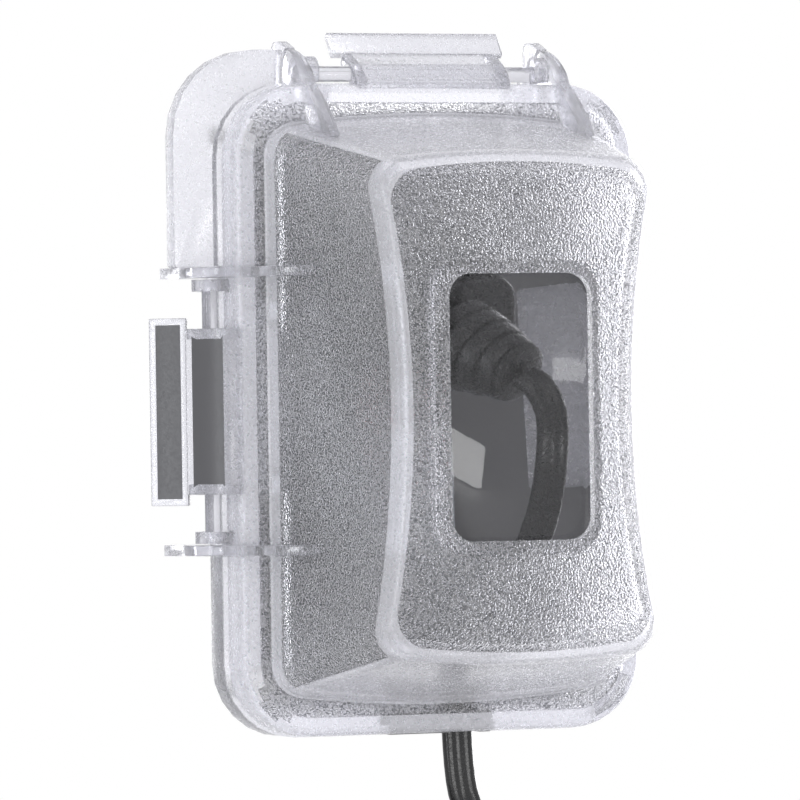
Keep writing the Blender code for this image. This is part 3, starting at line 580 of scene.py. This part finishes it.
def lid_hinge(side):
    """Two ears, a flared finger flap and its two cheeks on one edge of the lid."""
    ear = arc((PIN_Y, PIN_OUT), 6.66, -10.0, 64.0, 14)
    ear += [(-13.4, 7.2), (-16.0, 6.0), (-18.6, 4.3), (-20.8, 2.4), (-22.2, 0.0)]
    ear += [(-25.5, -2.3), (-29.5, -5.3), (-34.0, -9.6), (-36.6, -12.9), (-24.0, -13.4)]
    ear += [(-18.2, -4.0), (-17.8, -1.5), (-11.4, -1.5)]
    for end, (low, high) in zip(("low", "high"), EARS, strict=True):
        bm = hinge_plate(side, ear, low, high)
        ease(bm, 0.45)
        keep(f"{side}_ear_{end}", bm, (CLEAR,), "lid", 34.0)
    tip_y, tip_out = {"top": (-5.9, 12.4), "side": (-3.4, 14.0)}[side]
    flap = [(-19.7, -1.2), (-19.7, 0.5), (-18.4, 2.3), (-15.8, 4.5), (-12.6, 6.3), (-9.6, 7.5)]
    flap += [(-8.3, 6.2), (-12.2, 4.75), (-15.0, 3.0), (-17.0, 0.9), (-17.4, -1.2)]
    bm = hinge_plate(side, flap, -19.0, 19.0)
    outer = {"top": Vector((0, -0.55, 0.83)), "side": Vector((-0.83, -0.55, 0))}[side]
    bmesh.ops.recalc_face_normals(bm, faces=bm.faces)
    front = [face for face in bm.faces if face.normal.dot(outer) > 0.8]
    bmesh.ops.inset_region(bm, faces=front, thickness=2.4 * MM, depth=-0.5 * MM)
    for face in front:
        face.material_index = 1
    ease(bm, 0.2)
    # On the side hinge the flap's and lip's recess gets painted shade in dark grey; on the top hinge
    # it stays satin.
    shade = RECESS_PAINTED_SHADE if side == "side" else SATIN
    keep(f"{side}_flap", bm, (SATIN, shade), "lid", 34.0)
    lip = [(-9.8, 7.3), (tip_y, tip_out), (tip_y + 1.3, tip_out - 0.95), (-8.3, 6.2)]
    bm = hinge_plate(side, lip, -21.5, 21.5)
    if side == "side":
        bmesh.ops.recalc_face_normals(bm, faces=bm.faces)
        front = [face for face in bm.faces if face.normal.dot(outer) > 0.8]
        bmesh.ops.inset_region(bm, faces=front, thickness=2.2 * MM, depth=-0.3 * MM)
        for face in front:
            face.material_index = 1
    ease(bm, 0.3)
    keep(f"{side}_lip", bm, (SATIN, shade), "lid", 34.0)
    cheek = [(-19.0, -1.5), (-19.0, 0.9), (-15.8, 4.0), (-12.6, 5.8), (-9.6, 7.0), (-8.4, 5.6)]
    cheek += [(-8.4, 4.5)] + arc((PIN_Y, PIN_OUT), 2.1, 90.0, 270.0, 12)
    cheek += [(-11.4, 0.3), (-11.4, -1.5)]
    for end, (low, high) in zip(("low", "high"), ((-19.0, -16.6), (16.6, 19.0)), strict=True):
        bm = hinge_plate(side, cheek, low, high)
        ease(bm, 0.3)
        keep(f"{side}_cheek_{end}", bm, (CLEAR,), "lid", 34.0)


def window_pane():
    """The smoked sheet behind the lid's opening."""
    low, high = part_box("window_pane")
    bm = flat(
        [(high.x / MM, high.z / MM), (low.x / MM, high.z / MM), (low.x / MM, low.z / MM),
         (high.x / MM, low.z / MM)], "XZ"
    )
    round_corners(bm, 7.3)
    thicken(bm, "XZ", low.y / MM, high.y / MM)
    ease(bm, 0.25)
    keep("window_sheet", bm, (SMOKE,), "lid", 34.0, ["window_pane"])


# ------------------------------------------------------------------ plug and cord

RELIEF = ((2.9, -41.7, 11.5), (7.3, -49.9, 6.9))
LEAD = [
    (7.9, -51.1, 6.2), (9.6, -54.2, 4.0), (11.2, -56.4, -1.4), (11.4, -56.2, -9.0),
    (11.0, -53.0, -20.0), (9.6, -46.0, -31.5), (8.2, -35.5, -43.0), (7.0, -24.0, -52.0),
    (6.2, -15.6, -59.8), (6.0, -12.8, -67.5), (6.0, -12.5, -77.0), (7.0, -12.5, -88.0),
    (9.4, -12.5, -94.5),
]
TAIL = [(5.6, -12.5, -116.6), (8.4, -12.5, -121.0), (8.6, -12.5, -126.0), (6.8, -12.5, -131.0)]
COIL_CENTRE = Vector((-8.0, -12.5, -142.0))
CORE_RADIUS = 1.73
CORE_OUT = 1.82
TURNS = [(45.2, 3.7), (41.6, 3.7), (41.6, -3.7), (38.0, -3.7), (38.0, 3.7), (34.4, 3.7), (34.4, -3.7)]
CROSSING = 100.0
CROSSING_HALF = 22.0
ENTRY = 53.0
COIL_STEP = 0.035
CORD_STEP = 2.8
TURNS_FLAT_FROM = 158.0
TURNS_FLAT_OVER = 50.0


def smooth_run(points, per_span):
    """Points on the smooth curve through a route's own points."""
    guide = [2 * points[0] - points[1], *points, 2 * points[-1] - points[-2]]
    fine = [points[0]]
    for k in range(1, len(guide) - 2):
        p0, p1, p2, p3 = guide[k - 1 : k + 3]
        for j in range(1, per_span + 1):
            t = j / per_span
            fine.append(
                0.5 * (
                    2 * p1 + (p2 - p0) * t + (2 * p0 - 5 * p1 + 4 * p2 - p3) * t * t
                    + (3 * p1 - p0 - 3 * p2 + p3) * t * t * t
                )
            )
    return fine


def coil_run():
    """The turns of the bundle: each keeps its own place and steps to the next at one crossing."""
    points = []
    passed = (CROSSING - ENTRY) / 360.0
    while passed < len(TURNS) - 0.03:
        crossing = round(passed)
        beyond = (passed - crossing) * 360.0
        radius, across = TURNS[math.floor(passed)]
        if 0 < crossing < len(TURNS) and abs(beyond) < CROSSING_HALF:
            t = (beyond + CROSSING_HALF) / (2 * CROSSING_HALF)
            t = t * t * (3 - 2 * t)
            before = TURNS[crossing - 1]
            after = TURNS[crossing]
            radius = before[0] + (after[0] - before[0]) * t
            across = before[1] + (after[1] - before[1]) * t
        turn = math.radians(CROSSING - 360.0 * passed)
        out = Vector((math.cos(turn) * radius, across, math.sin(turn) * radius))
        points.append(COIL_CENTRE + out)
        passed += COIL_STEP
    return points


def cord_route():
    """The cord's centreline, evenly spaced, and the way its broad side faces at each point."""
    lead = [Vector(p) for p in LEAD]
    tail = [Vector(p) for p in TAIL]
    run = smooth_run(lead + coil_run() + tail, 6)
    even = [run[0]]
    for point in run[1:]:
        if (point - even[-1]).length >= CORD_STEP:
            even.append(point)
    even.append(run[-1])
    facing = []
    travelled = 0.0
    for k, point in enumerate(even):
        if k:
            travelled += (point - even[k - 1]).length
        t = min(1.0, max(0.0, (travelled - TURNS_FLAT_FROM) / TURNS_FLAT_OVER))
        t = t * t * (3 - 2 * t)
        facing.append(Vector((0.95, -0.30, 0.0)) * (1 - t) + Vector((0.0, 1.0, 0.0)) * t)
    return even, facing


def lay_cord():
    """Two round cores side by side, drawn along the route; also gives the route in metres."""
    even, facing = cord_route()
    outline = arc((CORE_OUT, 0.0), CORE_RADIUS, -140.0, 140.0, 9)
    outline += arc((-CORE_OUT, 0.0), CORE_RADIUS, 40.0, 320.0, 9)
    bm = bmesh.new()
    loop = [bm.verts.new((0, 0, 0)) for _ in outline]
    edges = [bm.edges.new((loop[k - 1], loop[k])) for k in range(len(loop))]
    for k, point in enumerate(even):
        ahead = (even[min(k + 1, len(even) - 1)] - even[max(k - 1, 0)]).normalized()
        broad = (facing[k] - ahead * facing[k].dot(ahead)).normalized()
        thin = ahead.cross(broad)
        if k:
            order = {vert.co.copy().freeze(): n for n, vert in enumerate(loop)}
            grown = bmesh.ops.extrude_edge_only(bm, edges=edges)["geom"]
            edges = [item for item in grown if isinstance(item, bmesh.types.BMEdge)]
            new = [item for item in grown if isinstance(item, bmesh.types.BMVert)]
            loop = sorted(new, key=lambda vert: order[vert.co.copy().freeze()])
        for vert, (a, b) in zip(loop, outline, strict=True):
            vert.co = (point + broad * a + thin * b) * MM
        if k == 0:
            bmesh.ops.contextual_create(bm, geom=edges)
    bmesh.ops.contextual_create(bm, geom=edges)
    return bm, [tuple(p * MM) for p in even]


def turned(profile, start, end, sides=40):
    """A solid turned about the line from start to end; the profile is (along, radius)."""
    bm = bmesh.new()
    verts = [bm.verts.new((radius * MM, 0, along * MM)) for along, radius in profile]
    edges = [bm.edges.new(pair) for pair in zip(verts, verts[1:], strict=False)]
    bmesh.ops.spin(
        bm, geom=verts + edges, cent=(0, 0, 0), axis=(0, 0, 1), angle=2 * math.pi,
        steps=sides, use_merge=True,
    )
    bmesh.ops.remove_doubles(bm, verts=bm.verts, dist=0.005 * MM)
    start = Vector(start)
    turn = (Vector(end) - start).to_track_quat("Z", "Y").to_matrix().to_4x4()
    bmesh.ops.transform(bm, matrix=Matrix.Translation(start * MM) @ turn, verts=bm.verts)
    return bm


def ribbed_sleeve(name, start, end, big, small, ribs, stands_for):
    """A strain relief: a tapering sleeve with grooves round it."""
    length = (Vector(end) - Vector(start)).length
    profile = [(0.0, 0.0), (0.0, big - 0.4), (0.4, big)]
    pitch = (length - 0.8) / ribs
    for k in range(ribs):
        along = 0.4 + pitch * k
        here = big + (small - big) * along / length
        profile += [
            (along + pitch * 0.50, here),
            (along + pitch * 0.62, here - 0.25),
            (along + pitch * 0.68, here - 0.9),
            (along + pitch * 0.90, here - 1.0),
            (along + pitch * 0.96, here - 0.4),
        ]
    profile += [(length - 0.3, small), (length, small - 0.4), (length, 0.0)]
    bm = turned(profile, start, end)
    return keep(name, bm, (BLACK,), "base", 40.0, stands_for)


def moulded_plug():
    """The plug's body: a wide block that slopes and turns a little towards its front."""
    sections = [
        (-11.35, 11.8, 12.1, 3.6, 0, 0, 0.0, 17.3),
        (-11.6, 12.5, 12.8, 4.4, 0, 0, 0.0, 17.3),
        (-12.4, 12.7, 13.0, 4.6, 0, 0, 0.0, 17.3),
        (-17.0, 12.7, 12.7, 4.6, 0, 0, 0.0, 17.0),
        (-17.6, 12.1, 12.0, 4.6, 0, 0, 0.0, 16.9),
        (-18.6, 12.1, 11.8, 4.6, 0, 0, 0.0, 16.7),
        (-19.2, 12.7, 12.1, 4.6, 0, 0, 0.0, 16.6),
        (-28.0, 12.8, 10.8, 4.6, 0, 0, 0.2, 15.4),
        (-35.0, 12.8, 9.8, 4.6, 0, 0, 0.3, 14.4),
        (-36.4, 12.6, 9.5, 4.4, 0, 0, 0.3, 14.3),
        (-37.2, 12.0, 8.9, 4.0, 0, 0, 0.3, 14.3),
        (-37.6, 10.8, 7.8, 3.4, 0, 0, 0.3, 14.3),
    ]
    bm = draw_out(sections)
    for vert in bm.verts:
        turn = min(1.0, max(0.0, (-14.0 * MM - vert.co.y) / (20.0 * MM)))
        vert.co.z += 0.2 * vert.co.x * turn
    keep("plug_moulding", bm, (BLACK,), "base", 40.0, ["plug_body"])
    start = (1.0, -36.6, 13.6)
    ribbed_sleeve("plug_sleeve", start, RELIEF[1], 9.4, 6.1, 4, ["plug_strain_relief"])


def tie_round_coil():
    """A strap once round the bundle, with its end lapped over."""
    middle = 39.8
    half_r = 7.8
    half_w = 8.0
    corners = [(middle + half_r, half_w), (middle - half_r, half_w)]
    corners += [(middle - half_r, -half_w), (middle + half_r, -half_w)]
    band = flat(corners, "XY")
    round_corners(band, 2.2, 6)
    thicken(band, "XY", -5.0, 5.0)
    inner = [face for face in band.faces if abs(face.normal.z) > 0.9]
    bmesh.ops.delete(band, geom=inner, context="FACES_ONLY")
    turn = Matrix.Rotation(math.radians(-CROSSING), 4, "Y")
    place = Matrix.Translation(COIL_CENTRE * MM) @ turn
    bmesh.ops.transform(band, matrix=place, verts=band.verts)
    strap = keep("cord_tie", band, (DARK,), "base", 50.0, ["coil_tie"])
    thick = strap.modifiers.new("strap", "SOLIDIFY")
    thick.thickness = 1.0 * MM
    thick.offset = 1.0
    edge = strap.modifiers.new("edge", "BEVEL")
    edge.width = 0.25 * MM
    edge.segments = 2
    return strap


def far_connector():
    """A small moulded connector with two slots, and its sleeve."""
    top = Vector(TAIL[-1])
    along = (top - Vector(TAIL[-2])).normalized()
    neck = top + along * 0.3
    collar = neck + along * 9.0
    sleeve = ribbed_sleeve("connector_sleeve", collar, neck, 5.5, 4.3, 3, ["connector_relief"])
    sections = [
        (0.3, 5.2, 3.4, 2.6), (0.6, 6.6, 4.6, 2.8), (2.4, 8.4, 5.8, 3.0), (4.4, 9.3, 6.3, 3.0),
        (8.0, 9.3, 6.3, 3.0), (8.4, 8.8, 5.8, 3.0), (12.0, 8.8, 5.8, 3.0), (12.4, 9.4, 6.4, 3.0),
        (24.6, 9.4, 6.4, 3.0), (25.2, 8.9, 5.9, 2.8),
    ]
    bm = draw_out(sections)
    turn = along.to_track_quat("Y", "Z").to_matrix().to_4x4()
    bmesh.ops.transform(bm, matrix=Matrix.Translation(collar * MM) @ turn, verts=bm.verts)
    body = keep("connector_moulding", bm, (BLACK,), "base", 40.0, ["cord_connector"])
    slots = []
    for x, half in ((-6.35 / 2 - 1.0, 2.9), (6.35 / 2 + 1.0, 2.5)):
        cutter = thicken(
            flat([(x - 0.9, -half), (x + 0.9, -half), (x + 0.9, half), (x - 0.9, half)], "XZ"),
            "XZ", 14.0, 27.0,
        )
        place = Matrix.Translation(collar * MM) @ turn
        bmesh.ops.transform(cutter, matrix=place, verts=cutter.verts)
        slots.append(cutter)
    carve(body, slots)
    return sleeve, body


def cord_and_ends():
    """The plug, the cord in one length, its tie and its far connector."""
    moulded_plug()
    sleeve, body = far_connector()
    strap = tie_round_coil()
    bm, path = lay_cord()
    whole = ["supply_cord", "cord_coil", "cord_tail"]
    cord = keep("zip_cord", bm, (BLACK,), "base", 75.0, whole)


# ------------------------------------------------------------------ the rest of the frame


def refine(node, material):
    """A copy of a CAD node with its triangles merged and its edges eased."""
    source = frame["nodes"][node]
    bm = bmesh.new()
    bm.from_mesh(source.data)
    bmesh.ops.remove_doubles(bm, verts=bm.verts, dist=0.01 * MM)
    bmesh.ops.dissolve_limit(
        bm, angle_limit=math.radians(1.0), verts=bm.verts, edges=bm.edges, delimit=set()
    )
    ease(bm, 0.25)
    keep(node + "_eased", bm, (material,), source["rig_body"], 34.0, [node], turn_out=False)


EASED = {
    "wall_gasket": FOAM, "back_plate": SATIN, "insert_plate": GREY, "insert_clip_left": LIGHT,
    "insert_clip_right": LIGHT, "cord_port_seal": GREY, "device_strap": ZINC,
    "receptacle_face": WHITE_IN_PAINTED_SHADE, "receptacle_body": GREY, "test_button": DARK,
    "reset_button": RED, "status_lens": GREEN, "ground_screw": GREEN,
    "terminal_screw_line_hot": BRASS, "terminal_screw_load_hot": BRASS,
    "terminal_screw_line_neutral": ZINC, "terminal_screw_load_neutral": ZINC,
    "wall_screw_1": ZINC, "wall_screw_2": ZINC, "wall_screw_3": ZINC, "wall_screw_4": ZINC,
    "strap_screw_top": ZINC, "strap_screw_bottom": ZINC, "neutral_contact": BRASS,
    "hot_contact": BRASS, "ground_contact": BRASS, "circuit_board": LAMINATE,
    "sensing_coil": COPPER, "trip_solenoid": COPPER, "top_hinge_pin": CLEAR,
    "side_latch_pin": CLEAR, "plug_blade_neutral": BRASS, "plug_blade_hot": BRASS,
}


studio()
floor(PALE)
cord_and_ends()
bubble()
lid_hinge("top")
lid_hinge("side")
window_pane()
for name, material in EASED.items():
    refine(name, material)
